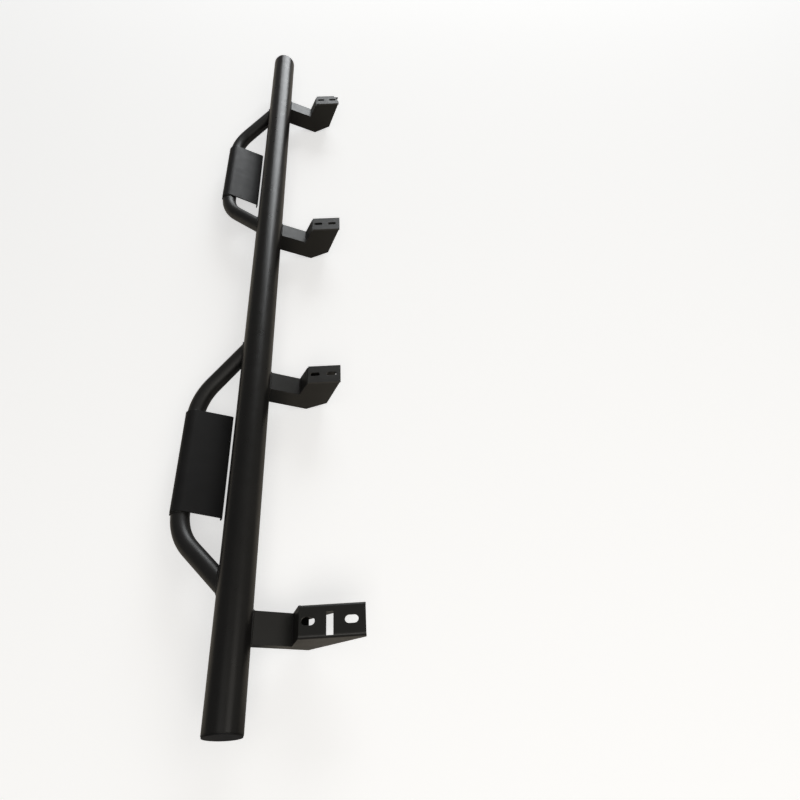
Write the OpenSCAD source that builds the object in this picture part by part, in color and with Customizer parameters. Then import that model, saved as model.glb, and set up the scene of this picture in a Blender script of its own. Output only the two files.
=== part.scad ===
// Side step: a straight main tube with two dropped tread hoops outboard and four welded brackets inboard.
// +X points inboard to the vehicle, +Y along the tube to its far end, +Z up out of the mounting faces.
// The origin is the middle of the two slots of the middle bracket, on its mounting face.

/* [Main tube] */
// Outside diameter of the main tube
tube_od = 76.2; // [60:0.1:90]
// Wall of the main tube
tube_wall = 2.1; // [1.5:0.1:4]
// Length of the main tube without its end caps
tube_len = 2411; // [2300:1:2600]
// Distance from the middle bracket to the near end of the tube
near_reach = 1395; // [1330:1:1480]
// Horizontal distance from the slots' centre line to the tube axis
tube_out = 172.6; // [160:0.1:190]
// Depth of the tube axis below the mounting faces
tube_drop = 12; // [4:0.5:20]
// Thickness of an end cap
cap_t = 3; // [2:0.5:6]
// How far a cap stands back from the tube's outside, where its weld runs
cap_inset = 1; // [0.5:0.1:1.5]

/* [Hoops] */
// Outside diameter of a hoop's tube
hoop_od = 42.4; // [34:0.1:48]
// Wall of a hoop's tube
hoop_wall = 2; // [1.5:0.1:3]
// Horizontal distance from the main tube axis to a hoop's straight run
hoop_out = 149.6; // [135:0.1:175]
// Drop of a hoop's straight run below the main tube axis
hoop_drop = 36; // [20:1:50]
// Half the distance between a hoop's two legs, at the main tube axis
hoop_foot = 348; // [320:1:370]
// Half the distance between the two corners of a hoop, before they are rounded
hoop_corner = 183; // [175:1:200]
// Bend radius of a hoop, at the middle of its tube
hoop_bend_r = 140; // [110:1:145]
// Distance from the near end of the tube to the near hoop's middle
near_hoop_in = 595; // [560:1:640]
// How far the far hoop stands nearer than halfway between the middle and far brackets
far_hoop_shift = 20.5; // [0:0.5:40]

/* [Step plates] */
// Sheet thickness of a step plate
plate_t = 3; // [2:0.5:4]
// Slope of a step plate's tread, down towards the main tube, in degrees
plate_tilt = 28; // [20:1:32]
// Width of the flat tread, from the hoop's crown to the fold
tread_w = 90; // [70:1:92]
// Half the length of a step plate where it wraps the hoop
plate_half_out = 137; // [110:1:138]
// Half the length of a step plate at its folded inner edge
plate_half_in = 140; // [115:1:150]
// How far the plate wraps round the hoop, in degrees past the hoop's crown
plate_wrap = 112; // [90:1:140]
// Height of the flange folded down along the inner edge
plate_flange = 14; // [8:1:25]
// Outside bend radius of the folded inner edge
plate_fold_r = 5; // [4.5:0.5:8]

/* [Slotted brackets] */
// Width of the far, middle and near brackets along the tube
bracket_w = 52.5; // [44:0.5:64]
// Sheet thickness of the brackets' cheeks and straps
cheek_t = 4; // [3:0.5:6]
// Thickness of a mounting plate
mount_t = 5; // [4:0.5:8]
// Length of a mounting plate, outboard to inboard
mount_len = 82; // [76:1:96]
// How far a mounting plate's middle lies inboard of its slots' middle
mount_shift = 3; // [0:0.5:4]
// Distance between the two slots of a mounting plate
slot_pitch = 42; // [34:1:45]
// Length of a slot, end to end
slot_len = 25; // [16:0.5:28]
// Width of a slot
slot_w = 11; // [9:0.5:13]
// Fall of the arms away from the main tube, in degrees
arm_fall = 24; // [18:1:28]
// Depth of an arm, square to its top
arm_depth = 55; // [46:1:62]
// Outboard end of the mounting face to the inner corner, along X
throat_run = 27; // [22:1:32]
// Distance that the heel runs past the inner corner, along the arm
heel_run = 35; // [28:1:42]
// Depth of the toe below the mounting face
toe_drop = 91; // [84:1:96]
// Distance from the slots' middle to the toe, inboard
toe_x = 1; // [-6:1:8]
// Cut off the rear inboard corner of the far bracket's mounting plate
corner_cut = 18; // [10:1:19]
// Distance from the far end of the tube to the far bracket's middle
far_bracket_in = 299; // [260:1:330]
// Distance from the near end of the tube to the near bracket's middle
near_bracket_in = 806; // [770:1:840]

/* [End bracket] */
// Width of the end bracket along the tube
end_w = 66; // [58:0.5:74]
// Distance from the near end of the tube to the end bracket's middle
end_bracket_in = 190.5; // [160:0.5:220]
// Outboard end of the end bracket's mounting face, from the slots' centre line
end_face_out = 41.5; // [38:0.5:46]
// Outboard end of the end bracket's mounting face to its inner corner, along X
end_throat_run = 18.5; // [15:0.5:24]
// Length of the end bracket's mounting face
end_len = 132; // [126:1:140]
// Distance between the two slots of the end bracket
end_pitch = 86; // [82:1:90]
// Distance from the end bracket's outboard edge to its first slot
end_slot_x = 18; // [16:0.5:20]
// Length of a slot of the end bracket, end to end
end_slot_len = 27; // [20:0.5:28]
// Width of a slot of the end bracket
end_slot_w = 17; // [12:0.5:18]
// Depth of the end bracket's arm, square to its top
end_arm_depth = 20; // [16:1:30]
// Distance from the end bracket's outboard edge to its lowest corner
end_heel_x = 10; // [4:1:16]
// Height of the end bracket's cheeks at the tip of its tab
end_tip_h = 12; // [9:1:20]
// Outside bend radius of the end bracket's folds
end_fold_r = 7; // [6:0.5:9]
// Width of the window between the two slots
window_w = 14; // [8:1:16]
// Distance from the window's middle to the first slot
window_x = 43; // [40:1:46]
// Length of the window, from the front fold
window_len = 46; // [30:1:50]

/* [Clearances] */
// Gap left between a coped end and the main tube, filled by its weld
cope_gap = 0.2; // [0.1:0.05:0.5]
// Gap between a step plate and the hoop that it wraps
wrap_gap = 0.3; // [0.3:0.05:0.6]

/* [Hidden] */
coat = [0.13, 0.13, 0.14];
tread_coat = [0.19, 0.20, 0.21];
$fn = 96;
// Room past a face that a cut runs through
over = 1;
// The far mounting plate's corner cut starts this far in front of its middle
cut_start = bracket_w / 4;

tube_r = tube_od / 2;
hoop_r = hoop_od / 2;
tube_z = -tube_drop;
near_y = -near_reach;
far_y = near_y + tube_len;
near_bracket_y = near_y + near_bracket_in;
end_bracket_y = near_y + end_bracket_in;
near_hoop_y = near_y + near_hoop_in;
far_bracket_y = far_y - far_bracket_in;
far_hoop_y = far_bracket_y / 2 - far_hoop_shift;

// A hoop lies in one plane that falls outboard. Its corners are bends between straight legs and a straight run.
// Its places along and across the run are whole hundredths of a millimetre, so that bend and run meet exactly.
function hundredth(x) = round(x * 100) / 100;
hoop_fall = atan(hoop_drop / hoop_out);
hoop_reach = hundredth(hoop_out / cos(hoop_fall));
hoop_turn = atan(hoop_reach / (hoop_foot - hoop_corner));
bend_tangent = hoop_bend_r * tan(hoop_turn / 2);
run_half = hundredth(hoop_corner - bend_tangent);
leg_len = hoop_reach / sin(hoop_turn) - bend_tangent;
// A short core inside each joint of bend and leg, which makes them one tube
joint_core = 0.5;

// The wrap is an arc about the hoop's run. The tread leaves it as a tangent.
wrap_in_r = hoop_r + wrap_gap;
wrap_out_r = wrap_in_r + plate_t;
wrap_end = 90 + plate_wrap;
wrap_reach = 2 * wrap_out_r;

// Side outline of the slotted brackets, in X and Z.
face_out_x = mount_shift - mount_len / 2;
face_in_x = mount_shift + mount_len / 2;
arm_dir = [cos(arm_fall), -sin(arm_fall)];
arm_in = [-sin(arm_fall), -cos(arm_fall)];
// The arm's top meets the tube's side this far below its middle
arm_meet = 5;
// An arm's hidden end reaches this far past the tube's side, under the tube
arm_tuck = 20;
function arm_top_z(x) = tube_z - arm_meet - (x + tube_out - tube_r) * tan(arm_fall);
function arm_top(x) = [x, arm_top_z(x)];
arm_start = arm_top(-tube_out + tube_r - arm_tuck);
throat = arm_top(face_out_x - throat_run);
heel = throat + arm_in * arm_depth + arm_dir * heel_run;
toe = [toe_x, -toe_drop];
arm_end_low = arm_start + arm_in * arm_depth;

// The end bracket's own outline. Its upright is steeper, as its face starts further outboard.
end_in_x = end_len - end_face_out;
end_front_y = end_bracket_y - end_w / 2;
end_rear_y = end_bracket_y + end_w / 2;
end_slot_1 = end_slot_x - end_face_out;
end_start = arm_top(-tube_out + tube_r - arm_tuck / 2);
end_throat = arm_top(-end_face_out - end_throat_run);
end_heel = arm_top(end_heel_x - end_face_out) - [0, end_arm_depth / cos(arm_fall)];
end_tip = [end_in_x, -end_tip_h];

// Normal of the line from a to b, on its right hand
function side(a, b) = [b[1] - a[1], a[0] - b[0]] / norm(b - a);
// Corner of a sheet's inner face where it folds at b, on its way from a to c
function fold(a, b, c, t) = let(n = side(a, b), m = side(b, c)) b + (n + m) * t / (1 + n * m);

// Draws an outline in X and Z as a solid from one y to another
module across(from_y, to_y) {
    translate([0, to_y, 0]) rotate([90, 0, 0]) linear_extrude(to_y - from_y) children();
}

// A round bar along the main tube's axis
module on_axis(r, from_y, to_y) {
    translate([-tube_out, to_y, tube_z]) rotate([90, 0, 0]) cylinder(r = r, h = to_y - from_y);
}

// Everything that the main tube and its weld gap take from a coped end
module tube_room(mid_y, half) {
    on_axis(tube_r + cope_gap, mid_y - half, mid_y + half);
}

module oblong(len, wid) {
    for (side = [-1, 1]) translate([side * (len - wid) / 2, 0]) circle(d = wid);
    square([len - wid, wid], center = true);
}

module main_tube() {
    color(coat) difference() {
        on_axis(tube_r, near_y, far_y);
        on_axis(tube_r - tube_wall, near_y - over, far_y + over);
    }
}

module near_end_cap() {
    color(coat) on_axis(tube_r - cap_inset, near_y - cap_t, near_y);
}

module far_end_cap() {
    color(coat) on_axis(tube_r - cap_inset, far_y, far_y + cap_t);
}

// A bend and a leg of a hoop as solid bar, in its own plane: x outboard, y along the main tube
module hoop_half(r) {
    translate([hoop_reach - hoop_bend_r, run_half, 0]) {
        rotate_extrude(angle = hoop_turn) translate([hoop_bend_r, 0]) circle(r = r);
        rotate([0, 0, hoop_turn]) translate([hoop_bend_r, 0, 0]) rotate([-90, 0, 0]) {
            cylinder(r = r, h = leg_len);
            translate([0, 0, -joint_core]) cylinder(r = r - joint_core, h = 2 * joint_core);
        }
    }
}

module hoop_bar(r) {
    translate([hoop_reach, -run_half, 0]) rotate([-90, 0, 0]) cylinder(r = r, h = 2 * run_half);
    hoop_half(r);
    mirror([0, 1, 0]) hoop_half(r);
}

module hoop(mid_y) {
    difference() {
        translate([-tube_out, mid_y, tube_z]) rotate([0, 0, 180]) rotate([0, hoop_fall, 0])
            difference() {
                hoop_bar(hoop_r);
                hoop_bar(hoop_r - hoop_wall);
            }
        tube_room(mid_y, hoop_foot + hoop_od * 2);
    }
}

module near_hoop() {
    color(coat) hoop(near_hoop_y);
}

module far_hoop() {
    color(coat) hoop(far_hoop_y);
}

// Section of a step plate, with the hoop's run at the origin and the tread running to +x
module plate_section() {
    intersection() {
        difference() {
            circle(r = wrap_out_r);
            circle(r = wrap_in_r);
        }
        polygon([
            [0, 0],
            [0, wrap_reach],
            [-wrap_reach, wrap_reach],
            [-wrap_reach, 0],
            [-wrap_reach, wrap_reach * tan(180 - wrap_end + plate_tilt)]
        ]);
    }
    translate([0, wrap_in_r]) square([tread_w - plate_fold_r, plate_t]);
    translate([tread_w - plate_fold_r, wrap_out_r - plate_fold_r]) intersection() {
        difference() {
            circle(r = plate_fold_r);
            circle(r = plate_fold_r - plate_t);
        }
        square(plate_fold_r);
    }
    translate([tread_w - plate_t, wrap_out_r - plate_flange]) square([plate_t, plate_flange - plate_fold_r]);
}

module step_plate(mid_y) {
    translate([-tube_out - hoop_out, mid_y, tube_z - hoop_drop]) rotate([0, plate_tilt, 0]) intersection() {
        across(-plate_half_in, plate_half_in) plate_section();
        translate([0, 0, -wrap_reach]) linear_extrude(wrap_reach * 2) polygon([
            [-wrap_reach, -plate_half_out],
            [0, -plate_half_out],
            [tread_w, -plate_half_in],
            [tread_w, plate_half_in],
            [0, plate_half_out],
            [-wrap_reach, plate_half_out]
        ]);
    }
}

module near_step_plate() {
    color(tread_coat) step_plate(near_hoop_y);
}

module far_step_plate() {
    color(tread_coat) step_plate(far_hoop_y);
}

// Section of a sheet of thickness t that runs from a, folds at b and ends at c, with its body on the right hand
module folded_sheet(a, b, c, t) {
    polygon([a, b, c, c + side(b, c) * t, fold(a, b, c, t), a + side(a, b) * t]);
}

// All that lies at or above a height, in an X and Z outline
module above(z) {
    translate([-tube_out, z]) square([2 * tube_out, tube_out]);
}

module top_strap_section() {
    difference() {
        folded_sheet(arm_start, throat, [face_out_x, 0], cheek_t);
        above(-mount_t);
    }
}

module base_strap_section() {
    folded_sheet(toe, heel, arm_end_low, cheek_t);
}

module cheek_section() {
    difference() {
        polygon([arm_start, throat, [face_out_x, 0], [face_in_x, 0], toe, heel, arm_end_low]);
        above(-mount_t);
        top_strap_section();
        base_strap_section();
    }
}

// One piece of a slotted bracket, coped to the main tube, between two distances from the bracket's middle
module bracket_piece(mid_y, from_y, to_y) {
    color(coat) difference() {
        across(mid_y + from_y, mid_y + to_y) children();
        tube_room(mid_y, bracket_w);
    }
}

module front_cheek(mid_y) {
    bracket_piece(mid_y, -bracket_w / 2, cheek_t - bracket_w / 2) cheek_section();
}

module rear_cheek(mid_y) {
    bracket_piece(mid_y, bracket_w / 2 - cheek_t, bracket_w / 2) cheek_section();
}

module top_strap(mid_y) {
    bracket_piece(mid_y, -bracket_w / 2, bracket_w / 2) top_strap_section();
}

module base_strap(mid_y) {
    bracket_piece(mid_y, -bracket_w / 2, bracket_w / 2) base_strap_section();
}

// A mounting plate with its two slots. The cut takes its rear inboard corner.
module mount_plate(mid_y, cut) {
    color(coat) translate([0, mid_y, -mount_t]) linear_extrude(mount_t) difference() {
        polygon([
            [face_out_x, -bracket_w / 2],
            [face_in_x, -bracket_w / 2],
            [face_in_x, cut > 0 ? -cut_start : bracket_w / 2],
            [face_in_x - cut, bracket_w / 2],
            [face_out_x, bracket_w / 2]
        ]);
        for (end = [-1, 1]) translate([end * slot_pitch / 2, 0]) oblong(slot_len, slot_w);
    }
}

module far_bracket_mount_plate() {
    mount_plate(far_bracket_y, corner_cut);
}

module far_bracket_front_cheek() {
    front_cheek(far_bracket_y);
}

module far_bracket_rear_cheek() {
    rear_cheek(far_bracket_y);
}

module far_bracket_top_strap() {
    top_strap(far_bracket_y);
}

module far_bracket_base_strap() {
    base_strap(far_bracket_y);
}

module middle_bracket_mount_plate() {
    mount_plate(0, 0);
}

module middle_bracket_front_cheek() {
    front_cheek(0);
}

module middle_bracket_rear_cheek() {
    rear_cheek(0);
}

module middle_bracket_top_strap() {
    top_strap(0);
}

module middle_bracket_base_strap() {
    base_strap(0);
}

module near_bracket_mount_plate() {
    mount_plate(near_bracket_y, 0);
}

module near_bracket_front_cheek() {
    front_cheek(near_bracket_y);
}

module near_bracket_rear_cheek() {
    rear_cheek(near_bracket_y);
}

module near_bracket_top_strap() {
    top_strap(near_bracket_y);
}

module near_bracket_base_strap() {
    base_strap(near_bracket_y);
}

module end_top_section() {
    difference() {
        folded_sheet(end_start, end_throat, [-end_face_out, 0], cheek_t);
        above(-cheek_t);
    }
}

module end_base_section() {
    low_start = end_start - [0, end_arm_depth / cos(arm_fall)];
    polygon([
        low_start,
        low_start - arm_in * cheek_t,
        fold(end_tip, end_heel, low_start, cheek_t),
        end_heel + side(end_tip, end_heel) * cheek_t,
        end_heel
    ]);
}

// Section of the folded channel across its length: a web with a cheek folded down at each edge
module arch(half, r, low) {
    translate([-half, low]) square([2 * half, -low - r]);
    translate([r - half, -r]) square([2 * (half - r), r]);
    for (edge = [-1, 1]) translate([edge * (half - r), -r]) circle(r = r);
}

module end_channel_section() {
    low = -toe_drop - over;
    difference() {
        arch(end_w / 2, end_fold_r, low);
        translate([0, -cheek_t]) arch(end_w / 2 - cheek_t, end_fold_r - cheek_t, low);
    }
}

module end_bracket_folded_channel() {
    color(coat) difference() {
        intersection() {
            translate([-tube_out, end_bracket_y, 0]) rotate([90, 0, 90])
                linear_extrude(tube_out + end_in_x) end_channel_section();
            across(end_front_y, end_rear_y) difference() {
                polygon([
                    end_start, end_throat, [-end_face_out, 0], [end_in_x, 0], end_tip, end_heel,
                    end_start - [0, end_arm_depth / cos(arm_fall)]
                ]);
                end_top_section();
                end_base_section();
            }
        }
        translate([end_slot_1, end_bracket_y, -cheek_t - over]) linear_extrude(cheek_t + 2 * over) {
            for (place = [0, end_pitch]) translate([place, 0]) oblong(end_slot_len, end_slot_w);
            translate([window_x - window_w / 2, cheek_t - end_w / 2]) square([window_w, window_len]);
        }
        tube_room(end_bracket_y, end_w);
    }
}

module end_strap_piece() {
    color(coat) difference() {
        across(end_front_y, end_rear_y) children();
        tube_room(end_bracket_y, end_w);
    }
}

module end_bracket_top_strap() {
    end_strap_piece() end_top_section();
}

module end_bracket_base_strap() {
    end_strap_piece() end_base_section();
}

main_tube();
near_end_cap();
far_end_cap();
near_hoop();
far_hoop();
near_step_plate();
far_step_plate();
far_bracket_mount_plate();
far_bracket_front_cheek();
far_bracket_rear_cheek();
far_bracket_top_strap();
far_bracket_base_strap();
middle_bracket_mount_plate();
middle_bracket_front_cheek();
middle_bracket_rear_cheek();
middle_bracket_top_strap();
middle_bracket_base_strap();
near_bracket_mount_plate();
near_bracket_front_cheek();
near_bracket_rear_cheek();
near_bracket_top_strap();
near_bracket_base_strap();
end_bracket_folded_channel();
end_bracket_top_strap();
end_bracket_base_strap();
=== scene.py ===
"""Side step in black powder coat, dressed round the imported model. Lengths are metres, angles degrees."""
import math

import bmesh
import bpy
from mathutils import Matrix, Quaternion, Vector
from mathutils import noise


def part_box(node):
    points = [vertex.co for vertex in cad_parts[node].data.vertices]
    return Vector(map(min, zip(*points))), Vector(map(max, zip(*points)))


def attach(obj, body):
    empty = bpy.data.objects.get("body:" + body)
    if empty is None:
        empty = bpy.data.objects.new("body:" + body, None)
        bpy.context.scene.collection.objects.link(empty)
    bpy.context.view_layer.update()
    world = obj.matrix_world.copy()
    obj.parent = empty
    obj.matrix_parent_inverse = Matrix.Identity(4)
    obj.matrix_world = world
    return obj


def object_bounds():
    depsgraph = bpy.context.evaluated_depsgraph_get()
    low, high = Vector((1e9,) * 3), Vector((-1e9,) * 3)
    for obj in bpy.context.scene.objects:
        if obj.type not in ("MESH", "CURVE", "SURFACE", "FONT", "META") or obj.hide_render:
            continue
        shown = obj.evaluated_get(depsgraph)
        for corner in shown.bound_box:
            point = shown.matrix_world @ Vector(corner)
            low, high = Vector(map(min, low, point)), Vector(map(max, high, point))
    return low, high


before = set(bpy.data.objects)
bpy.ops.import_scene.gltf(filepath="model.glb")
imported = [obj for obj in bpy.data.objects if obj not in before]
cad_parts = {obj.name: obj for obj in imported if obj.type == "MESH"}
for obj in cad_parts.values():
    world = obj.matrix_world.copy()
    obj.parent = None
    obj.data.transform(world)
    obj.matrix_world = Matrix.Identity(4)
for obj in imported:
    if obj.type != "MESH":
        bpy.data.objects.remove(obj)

CAD_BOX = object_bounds()
BODY = "root"

# The camera stands above the near end and looks down along the tube.
CAMERA_PLACE = Vector((0.1354, -1.5888, 1.2544))
CAMERA_HEADING = 3.4006
CAMERA_DIP = 54.108
CAMERA_ROLL = -0.109
CAMERA_REACH = 50
FOCAL_PIXELS = 631.32
PICTURE_PIXELS = 800
SENSOR_WIDTH_MM = 36

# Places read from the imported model
TUBE_LOW, TUBE_HIGH = (Vector(c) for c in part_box("main_tube"))
TUBE_RADIUS = (TUBE_HIGH.z - TUBE_LOW.z) / 2
TUBE_X = (TUBE_LOW.x + TUBE_HIGH.x) / 2
TUBE_Z = (TUBE_LOW.z + TUBE_HIGH.z) / 2
HOOPS = ("near_hoop", "far_hoop")
ENDS = (("near", -1), ("far", 1))
SLOTTED = ("far_bracket", "middle_bracket", "near_bracket")

# The hoops' own sizes, as in the model
HOOP_RADIUS = 0.0212
HOOP_OUT = 0.1496
HOOP_DROP = 0.036
HOOP_FOOT = 0.348
HOOP_CORNER = 0.183

# The tread plates wrap the hoops between these angles, measured upwards from the inboard side.
WRAP_FROM = 64
WRAP_TO = 173
WRAP_HALF_LENGTH = 0.137

# The arms meet the tube from this angle on its inboard side, down to its underside.
ARM_TOP_ANGLE = -7.5
ARM_LOW_ANGLE = -88
END_ARM_LOW_ANGLE = -37

# The arms fall away from the tube, and turn up into the uprights at the throats.
ARM_FALL = 24
ARM_MEET = 0.005
THROAT_RUN = 0.027
END_THROAT_X = -0.060
THROAT_MARGIN = 0.003

# Weld beads: their radii, and how evenly they run
SADDLE_BEAD = 0.0026
ARM_BEAD = 0.0024
SEAM_BEAD = 0.0013
TREAD_BEAD = SEAM_BEAD * 1.3
BEAD_STEP = 0.0007
BEAD_SIDES = 10
FEWEST_STEPS = 4
RIPPLE_PITCH = 0.0028
RIPPLE_DEPTH = 0.11
DRIFT_DEPTH = 0.14
DRIFT_SCALE = 70
RUN_OUT = 0.35
TURN_POINTS = 72

# Each black runs between two colours, in faint clouds.
TUBE_BLACK = ((0.010, 0.010, 0.010), (0.014, 0.0135, 0.013))
BRACKET_BLACK = ((0.012, 0.012, 0.011), (0.016, 0.0155, 0.014))
# The treads' black is lighter and a little bluer than the tube's: painted light, making up for their lower
# specular level and the cool light they catch.
TREAD_BLACK_PAINTED_LIGHTER = ((0.018, 0.018, 0.019), (0.023, 0.023, 0.024))

# One powder coat, with a gloss that differs a little between tubes and sheets: material name, colours,
# range of roughness, strength of the skin, specular level
COATS = {
    "tube": ("powder_coat_black", TUBE_BLACK, (0.27, 0.33), 0.045, 0.5),
    "hoop": ("powder_coat_hoops", TUBE_BLACK, (0.38, 0.46), 0.07, 0.7),
    "bracket": ("powder_coat_brackets", BRACKET_BLACK, (0.34, 0.42), 0.12, 0.5),
    "plate": ("powder_coat_plates", BRACKET_BLACK, (0.34, 0.42), 0.1, 0.85),
    # The treads and cap take the black with painted light in it.
    "tread": ("powder_coat_treads", TREAD_BLACK_PAINTED_LIGHTER, (0.40, 0.47), 0.14, 0.21),
}

# The first of these words in a piece's name picks its coat. A piece without one has the tube's.
COAT_BY_WORD = (
    ("mount_plate", "plate"),
    ("hoop", "hoop"),
    ("bracket", "bracket"),
    ("step_plate", "tread"),
    ("cap", "tread"),
)

# The coat's noises: clouds in the colour, patches in the gloss, peel and grit in the skin
CLOUD_SCALE = 9
CLOUD_DETAIL = 4
CLOUD_ROUGHNESS = 0.6
CLOUD_RANGE = (0.3, 0.72)
PATCH_SCALE = 38
PATCH_DETAIL = 3
PATCH_RANGE = (0.3, 0.7)
PEEL_SCALE = 420
PEEL_DETAIL = 2
GRIT_SCALE = 2100
GRIT_DETAIL = 1
GRIT_SHARE = 0.3
SKIN_DEPTH = 0.0004

# The coat rounds every sharp edge by this radius.
EDGE_ROUND = 0.0009
EDGE_SAMPLES = 4

# Floor: pale to the camera. Gloss sees a painted pool of warm light on it by the brackets, a dim floor
# further off, and a painted shadow under the tube.
FLOOR_HALF = 14
FLOOR_PALE = (0.9, 0.9, 0.9, 1)
FLOOR_GLOW = 0.58
# Painted light: a warm pool of light painted into the floor by the brackets, seen only in the object's
# gloss.
FLOOR_PAINTED_LIGHT_BY_BRACKETS = (0.88, 0.80, 0.68, 1)
FLOOR_AROUND = (0.17, 0.15, 0.12, 1)
# Painted shadow: the floor under the tube painted dark, seen only in the object's gloss.
FLOOR_PAINTED_SHADOW_UNDER_TUBE = (0.04, 0.035, 0.03, 1)
PAINTED_LIGHT_FADE_X = (0.08, 0.32)
PAINTED_LIGHT_NEAR_END_FADE_Y = (-1.40, -1.30)
PAINTED_SHADOW_FADE = (0.03, 0.08)

# Room: the share of the white backdrop that gloss sees, and what else the object sees round it
WHITE = (1, 1, 1, 1)
BACKDROP_IN_GLOSS = 0.1
ROOM_INBOARD = (0.13, 0.12, 0.10, 1)
ROOM_OUTBOARD = (0.03, 0.028, 0.025, 1)
ROOM_FADE_X = (-0.5, 0.5)

# Soft lights: name, place, target, width, height, radiance of the face, tint
LIGHTS = (
    ("far_window", (1.95, 6.2, 2.4), (0, 0.4, 0), 2.4, 3.7, 5.5, (0.95, 0.98, 1.0)),
    ("far_window_wing", (0.05, 6.3, 2.4), (0, 0.4, 0), 1.5, 3.7, 2.9, (0.95, 0.98, 1.0)),
    ("side_window", (2.3, -1.1, 2.9), (-0.1, -1.0, 0), 1.8, 1.8, 0.75, (1.0, 0.96, 0.9)),
    ("overhead", (-0.3, -1.7, 3.4), (-0.17, -1.2, 0), 2.4, 2.4, 0.32, (1.0, 0.97, 0.93)),
    ("front_window", (0.5, -3.6, 2.8), (0, -0.6, 0), 2.6, 1.8, 2.4, (1.0, 0.97, 0.92)),
)


def link(obj):
    bpy.context.scene.collection.objects.link(obj)


# Camera

def direction(heading, lift):
    """Unit vector from a heading, turned from +Y towards +X, and a lift above level."""
    a, b = math.radians(heading), math.radians(lift)
    return Vector((math.sin(a) * math.cos(b), math.cos(a) * math.cos(b), math.sin(b)))


def build_camera():
    data = bpy.data.cameras.new("camera")
    data.sensor_fit = "HORIZONTAL"
    data.sensor_width = SENSOR_WIDTH_MM
    data.lens = FOCAL_PIXELS / PICTURE_PIXELS * SENSOR_WIDTH_MM
    data.clip_end = CAMERA_REACH
    camera = bpy.data.objects.new("camera", data)
    camera.rotation_mode = "QUATERNION"
    look = direction(CAMERA_HEADING, -CAMERA_DIP)
    roll = Quaternion((0, 0, 1), math.radians(CAMERA_ROLL))
    camera.rotation_quaternion = look.to_track_quat("-Z", "Y") @ roll
    camera.location = CAMERA_PLACE
    link(camera)
    bpy.context.scene.camera = camera


# Shader nodes

def new_material(name):
    material = bpy.data.materials.new(name)
    material.use_nodes = True
    tree = material.node_tree
    return material, tree.nodes, tree.links, tree.nodes["Principled BSDF"]


def add_noise(nodes, links, coords, scale, detail, roughness=0.5):
    node = nodes.new("ShaderNodeTexNoise")
    node.inputs["Scale"].default_value = scale
    node.inputs["Detail"].default_value = detail
    node.inputs["Roughness"].default_value = roughness
    links.new(coords, node.inputs["Vector"])
    return node.outputs["Fac"]


def spread(nodes, links, value, source, target):
    """A value mapped from one range to another, held at its ends."""
    node = nodes.new("ShaderNodeMapRange")
    node.inputs["From Min"].default_value = source[0]
    node.inputs["From Max"].default_value = source[1]
    node.inputs["To Min"].default_value = target[0]
    node.inputs["To Max"].default_value = target[1]
    links.new(value, node.inputs["Value"])
    return node.outputs["Result"]


def put(links, value, socket):
    """Set a socket to a number or a colour, or link another socket to it."""
    if isinstance(value, (int, float, tuple)):
        socket.default_value = value
    else:
        links.new(value, socket)


def arithmetic(nodes, links, kind, a, b=0):
    """A maths node on two values, each a socket or a number."""
    node = nodes.new("ShaderNodeMath")
    node.operation = kind
    put(links, a, node.inputs[0])
    put(links, b, node.inputs[1])
    return node.outputs[0]


def mix_colours(nodes, links, share, a, b):
    """From colour a at share 0 to colour b at share 1, each a socket or a colour."""
    node = nodes.new("ShaderNodeMix")
    node.data_type = "RGBA"
    links.new(share, node.inputs["Factor"])
    put(links, a, node.inputs["A"])
    put(links, b, node.inputs["B"])
    return node.outputs["Result"]


def split_places(nodes, links, kind):
    """X and Y of the texture coordinates of the kind given."""
    node = nodes.new("ShaderNodeSeparateXYZ")
    links.new(nodes.new("ShaderNodeTexCoord").outputs[kind], node.inputs["Vector"])
    return node.outputs["X"], node.outputs["Y"]


def backdrop_share(nodes, links):
    """1 for camera and clear rays and a share for glossy rays, so that gloss shows the backdrop too."""
    rays = nodes.new("ShaderNodeLightPath").outputs
    seen = arithmetic(nodes, links, "MAXIMUM", rays["Is Camera Ray"], rays["Is Transmission Ray"])
    gloss = arithmetic(nodes, links, "MULTIPLY", rays["Is Glossy Ray"], BACKDROP_IN_GLOSS)
    return arithmetic(nodes, links, "MAXIMUM", seen, gloss)


def show_backdrop(nodes, links, room, backdrop, output):
    """Let the rays see the room or the backdrop, by the backdrop's share."""
    mix = nodes.new("ShaderNodeMixShader")
    links.new(backdrop_share(nodes, links), mix.inputs["Fac"])
    links.new(room, mix.inputs[1])
    links.new(backdrop, mix.inputs[2])
    links.new(mix.outputs["Shader"], output.inputs["Surface"])


# Materials

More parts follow.
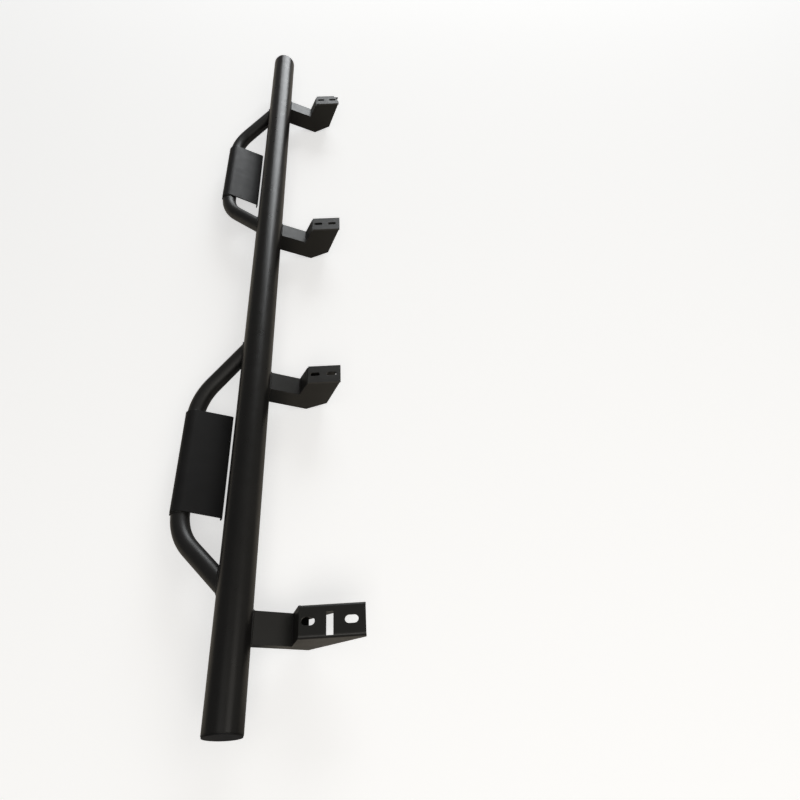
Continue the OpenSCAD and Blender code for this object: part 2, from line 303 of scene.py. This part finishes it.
def powder_coat(name, colours, gloss, skin, shine):
    """Satin powder coat: faint clouds in the colour, uneven gloss, an orange-peel skin and rounded edges."""
    material, nodes, links, shader = new_material(name)
    coords = nodes.new("ShaderNodeTexCoord").outputs["Object"]
    ramp = nodes.new("ShaderNodeValToRGB")
    for element, place, colour in zip(ramp.color_ramp.elements, CLOUD_RANGE, colours):
        element.position = place
        element.color = (*colour, 1)
    clouds = add_noise(nodes, links, coords, CLOUD_SCALE, CLOUD_DETAIL, CLOUD_ROUGHNESS)
    links.new(clouds, ramp.inputs["Fac"])
    links.new(ramp.outputs["Color"], shader.inputs["Base Color"])
    patches = add_noise(nodes, links, coords, PATCH_SCALE, PATCH_DETAIL)
    links.new(spread(nodes, links, patches, PATCH_RANGE, gloss), shader.inputs["Roughness"])
    shader.inputs["Specular IOR Level"].default_value = shine
    peel = add_noise(nodes, links, coords, PEEL_SCALE, PEEL_DETAIL)
    grit = add_noise(nodes, links, coords, GRIT_SCALE, GRIT_DETAIL)
    fine = arithmetic(nodes, links, "MULTIPLY", grit, GRIT_SHARE)
    bump = nodes.new("ShaderNodeBump")
    bump.inputs["Strength"].default_value = skin
    bump.inputs["Distance"].default_value = SKIN_DEPTH
    links.new(arithmetic(nodes, links, "ADD", peel, fine), bump.inputs["Height"])
    edge = nodes.new("ShaderNodeBevel")
    edge.samples = EDGE_SAMPLES
    edge.inputs["Radius"].default_value = EDGE_ROUND
    links.new(edge.outputs["Normal"], bump.inputs["Normal"])
    links.new(bump.outputs["Normal"], shader.inputs["Normal"])
    return material


def coat_for(name, coats):
    for word, kind in COAT_BY_WORD:
        if word in name:
            return coats[kind]
    return coats["tube"]


def dress(obj, material):
    obj.data.materials.clear()
    obj.data.materials.append(material)


def floor_material():
    """Shows pale to the camera and keeps the shadow. The object's gloss sees a dimmer floor, with a painted
    pool of warm light by the brackets and a painted shadow under the tube.
    """
    material, nodes, links, shader = new_material("pale_floor")
    shader.inputs["Base Color"].default_value = FLOOR_PALE
    shader.inputs["Roughness"].default_value = 1
    shader.inputs["Specular IOR Level"].default_value = 0
    shader.inputs["Emission Color"].default_value = WHITE
    shader.inputs["Emission Strength"].default_value = FLOOR_GLOW
    x, y = split_places(nodes, links, "Object")
    # Painted light: the warm pool painted on the floor by the brackets, for the object's gloss.
    beside = spread(nodes, links, x, PAINTED_LIGHT_FADE_X, (1, 0))
    along = spread(nodes, links, y, PAINTED_LIGHT_NEAR_END_FADE_Y, (0, 1))
    painted_light_share = arithmetic(nodes, links, "MULTIPLY", beside, along)
    colour = mix_colours(nodes, links, painted_light_share, FLOOR_AROUND, FLOOR_PAINTED_LIGHT_BY_BRACKETS)
    # Painted shadow: a dark strip painted on the floor under the tube.
    off_tube = arithmetic(nodes, links, "ABSOLUTE", arithmetic(nodes, links, "SUBTRACT", x, TUBE_X))
    painted_shadow_share = spread(nodes, links, off_tube, PAINTED_SHADOW_FADE, (1, 0))
    seen = nodes.new("ShaderNodeBsdfDiffuse")
    links.new(mix_colours(nodes, links, painted_shadow_share, colour, FLOOR_PAINTED_SHADOW_UNDER_TUBE), seen.inputs["Color"])
    show_backdrop(nodes, links, seen.outputs["BSDF"], shader.outputs["BSDF"], nodes["Material Output"])
    return material


# Weld beads

def even(points, closed):
    """The same path with points a bead step apart."""
    line = points + points[:1] if closed else points
    lengths = [(b - a).length for a, b in zip(line, line[1:])]
    count = max(FEWEST_STEPS, round(sum(lengths) / BEAD_STEP))
    result, k, passed = [], 0, 0.0
    for i in range(count if closed else count + 1):
        want = sum(lengths) * i / count
        while k < len(lengths) - 1 and passed + lengths[k] < want:
            passed += lengths[k]
            k += 1
        share = min(max((want - passed) / lengths[k], 0), 1)
        result.append(line[k].lerp(line[k + 1], share))
    return result


def bead_radius(place, number, radius, tapered, count):
    """A ripple along the bead, a slow unevenness and, on an open bead, run-out ends."""
    wave = RIPPLE_DEPTH * math.cos(2 * math.pi * number * BEAD_STEP / RIPPLE_PITCH)
    drift = DRIFT_DEPTH * noise.noise(place * DRIFT_SCALE)
    ends = 1.0
    if tapered:
        from_end = min(number, count - 1 - number) * BEAD_STEP
        ends = min(1.0, RUN_OUT + from_end / (2 * radius))
    return radius * (1 + wave + drift) * ends


def ring(bm, place, along, across, radius):
    """Points in a circle, square to the bead."""
    third = along.cross(across)
    turns = [2 * math.pi * k / BEAD_SIDES for k in range(BEAD_SIDES)]
    return [bm.verts.new(place + (across * math.cos(a) + third * math.sin(a)) * radius) for a in turns]


def bead_rings(bm, points, radius, closed):
    """Rings across a path, each turned as little as it can be from the one before."""
    count = len(points)
    rings, across = [], None
    for i, place in enumerate(points):
        before = points[i - 1] if closed or i else place
        after = points[(i + 1) % count] if closed or i < count - 1 else place
        along = (after - before).normalized()
        across = along.orthogonal() if across is None else across - along * across.dot(along)
        across.normalize()
        rings.append(ring(bm, place, along, across, bead_radius(place, i, radius, not closed, count)))
    return rings


def join_rings(bm, low, high, shift):
    sides = len(low)
    for k in range(sides):
        a, b = (k + 1) % sides, (k + shift) % sides
        bm.faces.new((low[k], low[a], high[(b + 1) % sides], high[b]))


def bead(name, path, radius, coat, closed=False):
    """A rippled round bead along a path."""
    bm = bmesh.new()
    rings = bead_rings(bm, even(path, closed), radius, closed)
    for low, high in zip(rings, rings[1:]):
        join_rings(bm, low, high, 0)
    if closed:
        gap = [(vertex.co - rings[-1][0].co).length for vertex in rings[0]]
        join_rings(bm, rings[-1], rings[0], gap.index(min(gap)))
    else:
        bm.faces.new(rings[0])
        bm.faces.new(rings[-1])
    bmesh.ops.recalc_face_normals(bm, faces=bm.faces)
    for face in bm.faces:
        face.smooth = True
    mesh = bpy.data.meshes.new(name)
    bm.to_mesh(mesh)
    bm.free()
    mesh.materials.append(coat)
    piece = bpy.data.objects.new(name, mesh)
    link(piece)
    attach(piece, BODY)


def around(x, z, radius, y, angle):
    """A point at a radius from an axis along Y. The angle is measured upwards from the inboard side."""
    a = math.radians(angle)
    return Vector((x + radius * math.cos(a), y, z + radius * math.sin(a)))


def on_tube(y, angle):
    """A point of the main tube's surface."""
    return around(TUBE_X, TUBE_Z, TUBE_RADIUS, y, angle)


def saddle(middle, end):
    """Where a hoop's leg meets the main tube, all the way round the leg."""
    foot = Vector((TUBE_X, middle + end * HOOP_FOOT, TUBE_Z))
    corner = Vector((TUBE_X - HOOP_OUT, middle + end * HOOP_CORNER, TUBE_Z - HOOP_DROP))
    along = (corner - foot).normalized()
    side = along.orthogonal().normalized()
    third = along.cross(side)
    flat = Vector((along.x, along.z))
    path = []
    for k in range(TURN_POINTS):
        turn = 2 * math.pi * k / TURN_POINTS
        start = foot + (side * math.cos(turn) + third * math.sin(turn)) * HOOP_RADIUS
        offset = Vector((start.x - TUBE_X, start.z - TUBE_Z))
        a, b, c = flat.dot(flat), flat.dot(offset), offset.dot(offset) - TUBE_RADIUS ** 2
        path.append(start + along * ((math.sqrt(b * b - a * c) - b) / a))
    return path


def hoop_middle(hoop):
    low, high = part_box(hoop)
    return (low[1] + high[1]) / 2


def weld_hoops(coat):
    for hoop in HOOPS:
        for name, end in ENDS:
            path = saddle(hoop_middle(hoop), end)
            bead(f"{hoop}_{name}_saddle_weld", path, SADDLE_BEAD, coat, closed=True)


def wrap_path(y):
    """Round the outside of a hoop's straight run, where a tread plate wraps it."""
    reach = HOOP_RADIUS + SEAM_BEAD / 2
    angles = [WRAP_FROM + (WRAP_TO - WRAP_FROM) * k / TURN_POINTS for k in range(TURN_POINTS)]
    return [around(TUBE_X - HOOP_OUT, TUBE_Z - HOOP_DROP, reach, y, a) for a in angles]


def weld_plates(coat):
    """Short beads round the hoop at both ends of each tread plate's wrap."""
    for hoop in HOOPS:
        for name, end in ENDS:
            y = hoop_middle(hoop) + end * (WRAP_HALF_LENGTH + SEAM_BEAD / 2)
            bead(f"{hoop}_{name}_tread_weld", wrap_path(y), TREAD_BEAD, coat)


def arm_path(front, rear, low_angle):
    """Up one cheek, along the strap and down the other cheek, on the main tube's surface."""
    steps = [ARM_TOP_ANGLE + (low_angle - ARM_TOP_ANGLE) * k / TURN_POINTS for k in range(TURN_POINTS + 1)]
    climb = [on_tube(front, a) for a in reversed(steps)]
    return climb + [on_tube(rear, a) for a in steps]


def throat_weld(bracket, x, front, rear, coat):
    """A bead across the inner corner between a bracket's arm and its upright."""
    top = TUBE_Z - ARM_MEET - (x - TUBE_X - TUBE_RADIUS) * math.tan(math.radians(ARM_FALL))
    path = [Vector((x, front + THROAT_MARGIN, top)), Vector((x, rear - THROAT_MARGIN, top))]
    bead(f"{bracket}_throat_weld", path, SEAM_BEAD, coat)


def weld_brackets(coat):
    for bracket in SLOTTED:
        low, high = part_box(f"{bracket}_top_strap")
        bead(f"{bracket}_arm_weld", arm_path(low[1], high[1], ARM_LOW_ANGLE), ARM_BEAD, coat)
        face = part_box(f"{bracket}_mount_plate")[0][0]
        throat_weld(bracket, face - THROAT_RUN, low[1], high[1], coat)
    low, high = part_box("end_bracket_top_strap")
    bead("end_bracket_arm_weld", arm_path(low[1], high[1], END_ARM_LOW_ANGLE), ARM_BEAD, coat)
    throat_weld("end_bracket", END_THROAT_X, low[1], high[1], coat)


# Surroundings

def build_floor(material):
    low = CAD_BOX[0][2]
    corners = [(x * FLOOR_HALF, y * FLOOR_HALF, low) for x, y in ((-1, -1), (1, -1), (1, 1), (-1, 1))]
    mesh = bpy.data.meshes.new("floor")
    mesh.from_pydata(corners, [], [(0, 1, 2, 3)])
    mesh.materials.append(material)
    floor = bpy.data.objects.new("floor", mesh)
    link(floor)


def build_world():
    """White to the camera. Everything else sees a warm room that is dimmer on the outboard side."""
    world = bpy.data.worlds.new("studio")
    bpy.context.scene.world = world
    world.use_nodes = True
    nodes, links = world.node_tree.nodes, world.node_tree.links
    room = nodes["Background"]
    x, _ = split_places(nodes, links, "Generated")
    side = spread(nodes, links, x, ROOM_FADE_X, (0, 1))
    links.new(mix_colours(nodes, links, side, ROOM_OUTBOARD, ROOM_INBOARD), room.inputs["Color"])
    backdrop = nodes.new("ShaderNodeBackground")
    backdrop.inputs["Color"].default_value = WHITE
    white = backdrop.outputs["Background"]
    show_backdrop(nodes, links, room.outputs["Background"], white, nodes["World Output"])


def softbox(name, place, target, width, height, radiance, tint):
    """An area light whose face has the radiance given."""
    data = bpy.data.lights.new(name, "AREA")
    data.shape = "RECTANGLE"
    data.size, data.size_y = width, height
    data.energy = radiance * math.pi * width * height
    data.color = tint
    light = bpy.data.objects.new(name, data)
    light.location = place
    light.rotation_mode = "QUATERNION"
    light.rotation_quaternion = (Vector(target) - Vector(place)).to_track_quat("-Z", "Y")
    link(light)


build_camera()
coats = {kind: powder_coat(*values) for kind, values in COATS.items()}
for node_name, node_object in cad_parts.items():
    dress(node_object, coat_for(node_name, coats))
weld_hoops(coats["tube"])
weld_plates(coats["tube"])
weld_brackets(coats["tube"])
build_floor(floor_material())
build_world()
for row in LIGHTS:
    softbox(*row)

bpy.context.scene.view_settings.view_transform = "Standard"
